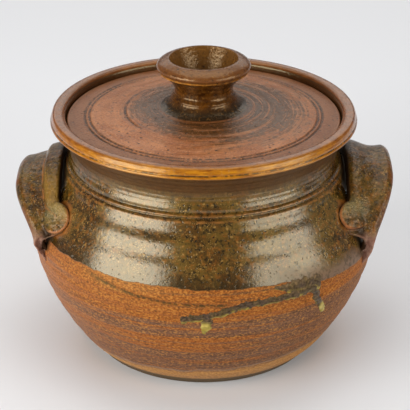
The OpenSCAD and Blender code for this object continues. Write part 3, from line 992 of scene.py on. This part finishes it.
def handle_stoneware():
    """Pulled strap under thick ash glaze: glossy olive in the valley, orange where it broke over an edge."""
    material, tree, place = begin("ash_glazed_handle_clay")
    z = add(tree, "SeparateXYZ", {0: place}).outputs["Z"]
    colour, height = ash_glaze(tree, place)
    # The pad's pale tone is a painted highlight on its upper, outer part
    parts = (("roll", "#967130", 0.55), ("pad", "#857f55", 0.5), ("outer_edge", "#6b3512", 0.8),
             ("crease", "#9c6636", 0.8), ("pad_edge", "#a56134", 0.8))
    for name, code, strength in parts:
        found = add(tree, "Attribute", attribute_name=name).outputs["Fac"]
        colour = stain(tree, colour, code, found, 0, 1, strength)

    # The tails under the pads are dry and pinkish, and the side towards the pot and the underside of the arch
    # are painted shade
    ragged = add(tree, "TexNoise", {"Vector": place, "Scale": 1 / 4, "Detail": 4, "Roughness": 0.65})
    low = add(tree, "Math", {0: ragged, 1: 16, 2: z}, operation="MULTIPLY_ADD")
    tail = add(tree, "MapRange", {"Value": low, "From Min": 114, "From Max": 106})
    tail_tone = stain(tree, "#7d5648", "#a3806e", ragged, 0.4, 0.62)
    colour = add(tree, "Mix", {0: tail, 6: colour, 7: tail_tone}, data_type="RGBA")
    # Painted shade: the crevice under each pad is painted dark
    crevice = add(tree, "Attribute", attribute_name="crevice").outputs["Fac"]
    colour = add(tree, "Mix", {0: crevice, 6: colour, 7: "#23120a"}, data_type="RGBA")
    painted_shade_side = add(tree, "Attribute", attribute_name="pot_side").outputs["Fac"]
    colour = add(tree, "Mix", {0: painted_shade_side, 6: colour, 7: "#24150a"}, data_type="RGBA")
    dry = add(tree, "Math", {0: painted_shade_side, 1: tail}, operation="MAXIMUM")

    # Wrinkles from the thumb on the pads, and lumps in the glaze all over
    wrinkle = add(tree, "TexNoise", {"Vector": place, "Scale": 1 / 2.2, "Detail": 3, "Distortion": 1.2})
    pad = add(tree, "Attribute", attribute_name="pad").outputs["Fac"]
    wrinkle = add(tree, "Math", {0: wrinkle, 1: pad}, operation="MULTIPLY")
    height = add(tree, "Math", {0: wrinkle, 1: 4.0, 2: height}, operation="MULTIPLY_ADD")
    lumps = add(tree, "TexNoise", {"Vector": place, "Scale": 1 / 4.5, "Detail": 3, "Roughness": 0.6})
    height = add(tree, "Math", {0: lumps, 1: 2.5, 2: height}, operation="MULTIPLY_ADD")
    bump = add(tree, "Bump", {"Height": height, "Distance": 0.4 * MM, "Strength": 1.0})
    rough = add(tree, "MapRange", {"Value": dry, "To Min": 0.3, "To Max": 0.9})
    glassy = add(tree, "MapRange", {"Value": dry, "To Min": 0.4, "To Max": 0})
    feed(tree, tree.nodes["Principled BSDF"], {
        "Base Color": colour, "Roughness": rough, "Normal": bump, "IOR": 1.35, "Specular Tint": "#ffd089",
        "Coat Weight": glassy, "Coat Normal": bump, "Coat IOR": 1.45, "Coat Roughness": 0.2})
    return material


def lid_stoneware():
    """Thrown lid under a thin satin glaze: red-brown, with dark glaze drawn out in rings round the knob."""
    material, tree, place = begin("satin_glazed_lid_clay")
    axes = add(tree, "SeparateXYZ", {0: place})
    x, y = axes.outputs["X"], axes.outputs["Y"]
    flat = add(tree, "CombineXYZ", {"X": x, "Y": y, "Z": 0.0})
    ring = add(tree, "VectorMath", {0: flat}, operation="LENGTH").outputs["Value"]
    shrunk = add(tree, "VectorMath", {0: flat, "Scale": 0.02}, operation="SCALE")
    around = add(tree, "SeparateXYZ", {0: shrunk})
    across = add(tree, "Math", {0: ring, 1: 0.45}, operation="MULTIPLY")
    ring_place = add(tree, "CombineXYZ", {"X": around.outputs[0], "Y": around.outputs[1], "Z": across})
    rings = add(tree, "TexNoise", {"Vector": ring_place, "Scale": 1, "Detail": 5, "Roughness": 0.65})
    cloud = add(tree, "TexNoise", {"Vector": place, "Scale": 1 / 16, "Detail": 4})
    mottle = add(tree, "TexNoise", {"Vector": place, "Scale": 1 / 2.2, "Detail": 4, "Roughness": 0.7})
    grain = add(tree, "TexNoise", {"Vector": place, "Scale": 1 / 1.2, "Detail": 2})
    colour = stain(tree, "#8f4e22", "#b06f42", cloud, 0.35, 0.65)
    colour = stain(tree, colour, "#653820", rings, 0.54, 0.7, 0.3)
    colour = stain(tree, colour, "#bd7f50", grain, 0.52, 0.62, 0.7)
    colour = stain(tree, colour, "#673a1c", ring, *lid_border, 0.55)

    # Dark glaze round the knob reaches further on the right, and is wiped off there in fine rings
    reach = add(tree, "Math", {0: x, 1: 0.17, 2: 40}, operation="MULTIPLY_ADD")
    reach = add(tree, "Math", {0: cloud, 1: 26, 2: reach}, operation="MULTIPLY_ADD")
    left = add(tree, "Math", {0: reach, 1: ring}, operation="SUBTRACT")
    blotch = add(tree, "TexNoise", {"Vector": place, "Scale": 1 / 5, "Detail": 5, "Roughness": 0.65})
    left = add(tree, "Math", {0: rings, 1: 40, 2: left}, operation="MULTIPLY_ADD")
    left = add(tree, "Math", {0: blotch, 1: 40, 2: left}, operation="MULTIPLY_ADD")
    dark = add(tree, "MapRange", {"Value": left, "From Min": 24, "From Max": 46, "To Max": 0.88},
               interpolation_type="SMOOTHSTEP")
    side = {"Value": x, "From Min": -30, "From Max": 30, "To Min": 0.35, "To Max": 0.9}
    rightwards = add(tree, "MapRange", side)
    fine_across = add(tree, "Math", {0: ring, 1: 0.5}, operation="MULTIPLY")
    fine_place = add(tree, "CombineXYZ", {"X": around.outputs[0], "Y": around.outputs[1], "Z": fine_across})
    fine_rings = add(tree, "TexNoise", {"Vector": fine_place, "Scale": 1, "Detail": 2})
    bared = add(tree, "MapRange", {"Value": fine_rings, "From Min": 0.54, "From Max": 0.62, "To Max": 0.7})
    bared = add(tree, "Math", {0: bared, 1: rightwards}, operation="MULTIPLY")
    flecked = add(tree, "MapRange", {"Value": mottle, "From Min": 0.54, "From Max": 0.66, "To Max": 0.5})
    bared = add(tree, "Math", {0: bared, 1: flecked}, operation="MAXIMUM")
    kept = add(tree, "Math", {0: 1, 1: bared}, operation="SUBTRACT")
    dark = add(tree, "Math", {0: dark, 1: kept}, operation="MULTIPLY")
    colour = add(tree, "Mix", {0: dark, 6: colour, 7: "#3f2a12"}, data_type="RGBA")

    # Specks, pinholes, and dark broken lines in the grooves
    colour = stain(tree, colour, "#371d10", mottle, 0.42, 0.35, 0.85)
    pits = add(tree, "TexVoronoi", {"Vector": place, "Scale": 1 / 5})
    pit_there = add(tree, "MapRange", {"Value": pits.outputs["Color"], "From Min": 0.45, "From Max": 0.5})
    pit = add(tree, "MapRange", {"Value": pits.outputs["Distance"], "From Min": 0.2, "From Max": 0.1})
    pit = add(tree, "Math", {0: pit, 1: pit_there}, operation="MULTIPLY")
    colour = add(tree, "Mix", {0: pit, 6: colour, 7: "#24120a"}, data_type="RGBA")
    broken = add(tree, "MapRange", {"Value": mottle, "From Min": 0.62, "From Max": 0.5, "To Max": 0.95})
    for radius in lid_grooves + (lid_scratch_radius,):
        groove = between(tree, ring, radius - 1.4, radius - 0.4, radius + 0.4, radius + 1.4)
        groove = add(tree, "Math", {0: groove, 1: broken}, operation="MULTIPLY")
        if radius == lid_scratch_radius:
            where = add(tree, "MapRange", {"Value": x, "From Min": -38, "From Max": -44})
            groove = add(tree, "Math", {0: groove, 1: where}, operation="MULTIPLY")
        colour = add(tree, "Mix", {0: groove, 6: colour, 7: "#2c170c"}, data_type="RGBA")
    height = add(tree, "Math", {0: grain, 1: 0.35, 2: mottle}, operation="MULTIPLY_ADD")
    height = add(tree, "Math", {0: pit, 1: -0.5, 2: height}, operation="MULTIPLY_ADD")
    bump = add(tree, "Bump", {"Height": height, "Distance": 0.5 * MM, "Strength": 0.9})
    rough = add(tree, "MapRange", {"Value": dark, "To Min": 0.36, "To Max": 0.2})
    feed(tree, tree.nodes["Principled BSDF"], {
        "Base Color": colour, "Roughness": rough, "Normal": bump, "IOR": 1.6, "Specular Tint": "#ffeacf"})
    return material


def knob_stoneware():
    """Small thrown knob under wet-looking amber glaze: brown on its lip, dark where the glaze gathered."""
    material, tree, place = begin("amber_glazed_knob_clay")
    z = add(tree, "SeparateXYZ", {0: place}).outputs["Z"]
    cloud = add(tree, "TexNoise", {"Vector": place, "Scale": 1 / 6, "Detail": 5, "Roughness": 0.6})
    mottle = add(tree, "TexNoise", {"Vector": place, "Scale": 1 / 1.8, "Detail": 3})
    tone = add(tree, "MapRange", {"Value": cloud, "From Min": 0.36, "From Max": 0.64})
    colour = add(tree, "Mix", {0: tone, 6: "#371c06", 7: "#60370c"}, data_type="RGBA")
    colour = stain(tree, colour, "#6b4020", z, *knob_lip_tone, 0.85)
    # Painted highlight: an amber ring along the bead under the lip
    bead = between(tree, z, *knob_bead_painted_highlight)
    bead = add(tree, "Math", {0: bead, 1: tone}, operation="MULTIPLY")
    colour = add(tree, "Mix", {0: bead, 6: colour, 7: "#b0742a"}, data_type="RGBA")
    inside = add(tree, "Attribute", attribute_name="inside").outputs["Fac"]
    colour = add(tree, "Mix", {0: inside, 6: colour, 7: "#674219"}, data_type="RGBA")
    colour = stain(tree, colour, "#2b2014", z, *knob_skirt_tone)
    colour = stain(tree, colour, "#1f1108", mottle, 0.42, 0.3, 0.7)
    colour = stain(tree, colour, "#93642a", mottle, 0.58, 0.72, 0.5)
    height = add(tree, "Math", {0: cloud, 1: 1.5, 2: mottle}, operation="MULTIPLY_ADD")
    bump = add(tree, "Bump", {"Height": height, "Distance": 0.3 * MM, "Strength": 1.0})
    feed(tree, tree.nodes["Principled BSDF"], {
        "Base Color": colour, "Roughness": 0.16, "Normal": bump, "IOR": 1.6, "Specular Tint": "#ffdcaa"})
    return material


def run_glaze():
    """Ash glaze that ran and gathered: slate and olive, clearing to yellow-green where it is thickest."""
    material, tree, place = begin("pooled_ash_glaze")
    cloud = add(tree, "TexNoise", {"Vector": place, "Scale": 1 / 5, "Detail": 4})
    tone = add(tree, "MapRange", {"Value": cloud, "From Min": 0.38, "From Max": 0.62})
    colour = add(tree, "Mix", {0: tone, 6: "#3f342e", 7: "#4a3d25"}, data_type="RGBA")
    grain = add(tree, "TexNoise", {"Vector": place, "Scale": 1 / 1.6, "Detail": 3})
    colour = stain(tree, colour, "#221710", grain, 0.5, 0.38, 0.85)
    colour = stain(tree, colour, "#745a40", grain, 0.55, 0.66, 0.6)
    lower = add(tree, "Attribute", attribute_name="lower_edge").outputs["Fac"]
    gathered = add(tree, "MapRange", {"Value": cloud, "From Min": 0.4, "From Max": 0.56, "To Max": 0.9})
    lower = add(tree, "Math", {0: lower, 1: gathered}, operation="MULTIPLY")
    colour = add(tree, "Mix", {0: lower, 6: colour, 7: "#9c8738"}, data_type="RGBA")
    pale_tone = add(tree, "Mix", {0: tone, 6: "#8a792f", 7: "#b5a155"}, data_type="RGBA")
    pale = add(tree, "Attribute", attribute_name="pale_drop").outputs["Fac"]
    colour = add(tree, "Mix", {0: pale, 6: colour, 7: pale_tone}, data_type="RGBA")
    bump = add(tree, "Bump", {"Height": cloud, "Distance": 0.4 * MM, "Strength": 0.7})
    feed(tree, tree.nodes["Principled BSDF"], {
        "Base Color": colour, "Roughness": 0.4, "Normal": bump, "IOR": 1.45, "Specular Tint": "#ffd089"})
    return material


# Assembling the dish

def dress(piece, material, body, slot, *nodes):
    piece.data.materials.clear()
    piece.data.materials.append(material)
    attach(piece, body)
    if nodes:
        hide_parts(*nodes)


pot_material = pot_stoneware()
handle_material = handle_stoneware()
left_strap = Strap(side=-1, droop=11.5, taper=(5, 75), tail_power=1.0, roll_height=3.4,
                   roll_edge=(0.33, 0.41), lip_height=1.4, seed=3)
right_strap = Strap(side=1, droop=1.0, taper=(-5, 70), tail_power=2.0, roll_height=4.3,
                    roll_edge=(0.15, 0.62), lip_height=1.6, seed=9)
dress(shape_pot(), pot_material, "pot", "pot_stoneware", "pot")
dress(shape_glaze_run(), run_glaze(), "pot", "pot_stoneware")
left_handle = strap_handle("left_strap_handle", left_strap)
dress(left_handle, handle_material, "pot", "handle_stoneware", "left_handle")
right_handle = strap_handle("right_strap_handle", right_strap)
dress(right_handle, handle_material, "pot", "handle_stoneware", "right_handle")
dress(shape_lid(), lid_stoneware(), "lid", "lid_stoneware", "lid")
dress(shape_knob(), knob_stoneware(), "lid", "knob_stoneware", "lid_knob")


# Studio

def paper_floor():
    bm = bmesh.new()
    bmesh.ops.create_grid(bm, x_segments=1, y_segments=1, size=12)
    floor = as_object("paper_floor", bm)
    material = bpy.data.materials.new("matt_paper")
    material.use_nodes = True
    tree = material.node_tree
    shader = tree.nodes["Principled BSDF"]
    place = add(tree, "TexCoord").outputs["Object"]
    axes = add(tree, "SeparateXYZ", {0: place})
    # Painted shade: the paper is darker towards the front
    depth = add(tree, "MapRange", {"Value": axes.outputs["Y"], "From Min": -0.35, "From Max": 0.5})
    tone = add(tree, "Mix", {0: depth, 6: "#dedede", 7: "#efeff0"}, data_type="RGBA")
    feed(tree, shader, {"Base Color": tone, "Roughness": 0.9, "Specular IOR Level": 0.1})

    # Far from the dish the paper is as pale as the room, also in low views
    away = add(tree, "VectorMath", {0: place}, operation="LENGTH").outputs["Value"]
    far = add(tree, "MapRange", {"Value": away, "From Min": 0.85, "From Max": 2.2})
    seen = add(tree, "LightPath").outputs["Is Camera Ray"]
    share = add(tree, "Math", {0: far, 1: seen}, operation="MULTIPLY")
    glow = add(tree, "Emission", {"Color": "#e6e6e7", "Strength": 1.0})
    both = add(tree, "MixShader", {0: share, 1: shader, 2: glow})
    feed(tree, tree.nodes["Material Output"], {"Surface": both})
    floor.data.materials.append(material)


def soft_box(name, angle, elevation, distance, width, height, radiance):
    """Square soft light that looks at the middle of the dish, from an angle round it and above the floor."""
    light = bpy.data.lights.new(name, "AREA")
    light.shape = "RECTANGLE"
    light.size = width
    light.size_y = height
    light.energy = radiance * math.pi * width * height
    made = bpy.data.objects.new(name, light)
    a, e = math.radians(angle), math.radians(elevation)
    target = Vector((0, 0, 0.1))
    back = Vector((math.sin(a) * math.cos(e), -math.cos(a) * math.cos(e), math.sin(e)))
    made.location = target + distance * back
    made.rotation_mode = "QUATERNION"
    made.rotation_quaternion = back.to_track_quat("Z", "Y")
    made.visible_camera = False
    bpy.context.scene.collection.objects.link(made)


def studio():
    """Pale room with four soft lights."""
    scene = bpy.context.scene
    world = bpy.data.worlds.new("studio_room")
    world.use_nodes = True
    tree = world.node_tree
    seen = add(tree, "LightPath").outputs["Is Camera Ray"]
    tone = add(tree, "Mix", {0: seen, 6: "#646466", 7: "#e6e6e7"}, data_type="RGBA")
    feed(tree, tree.nodes["Background"], {"Color": tone, "Strength": 1.0})
    scene.world = world
    soft_box("left_soft_box", angle=-51, elevation=15, distance=1.2, width=1.0, height=0.72, radiance=7.0)
    soft_box("right_soft_box", angle=56, elevation=18, distance=1.2, width=0.98, height=0.58, radiance=4.5)
    soft_box("top_soft_box", angle=180, elevation=80, distance=2.2, width=2.4, height=2.0, radiance=1.9)
    soft_box("back_soft_box", angle=180, elevation=32, distance=1.8, width=2.2, height=0.9, radiance=1.1)
    scene.view_settings.view_transform = "Standard"


def camera():
    """Stands where the photograph was taken from, worked out from the rim, foot and knob circles."""
    data = bpy.data.cameras.new("view")
    data.sensor_width = 36
    data.lens = 131.7
    data.shift_x = 0.0031
    made = bpy.data.objects.new("view", data)
    made.location = (0, -0.9567, 0.5587)
    aim = Vector((0, 0, 0.0976)) - made.location
    made.rotation_mode = "QUATERNION"
    made.rotation_quaternion = aim.to_track_quat("-Z", "Y")
    bpy.context.scene.collection.objects.link(made)
    bpy.context.scene.camera = made


paper_floor()
studio()
camera()
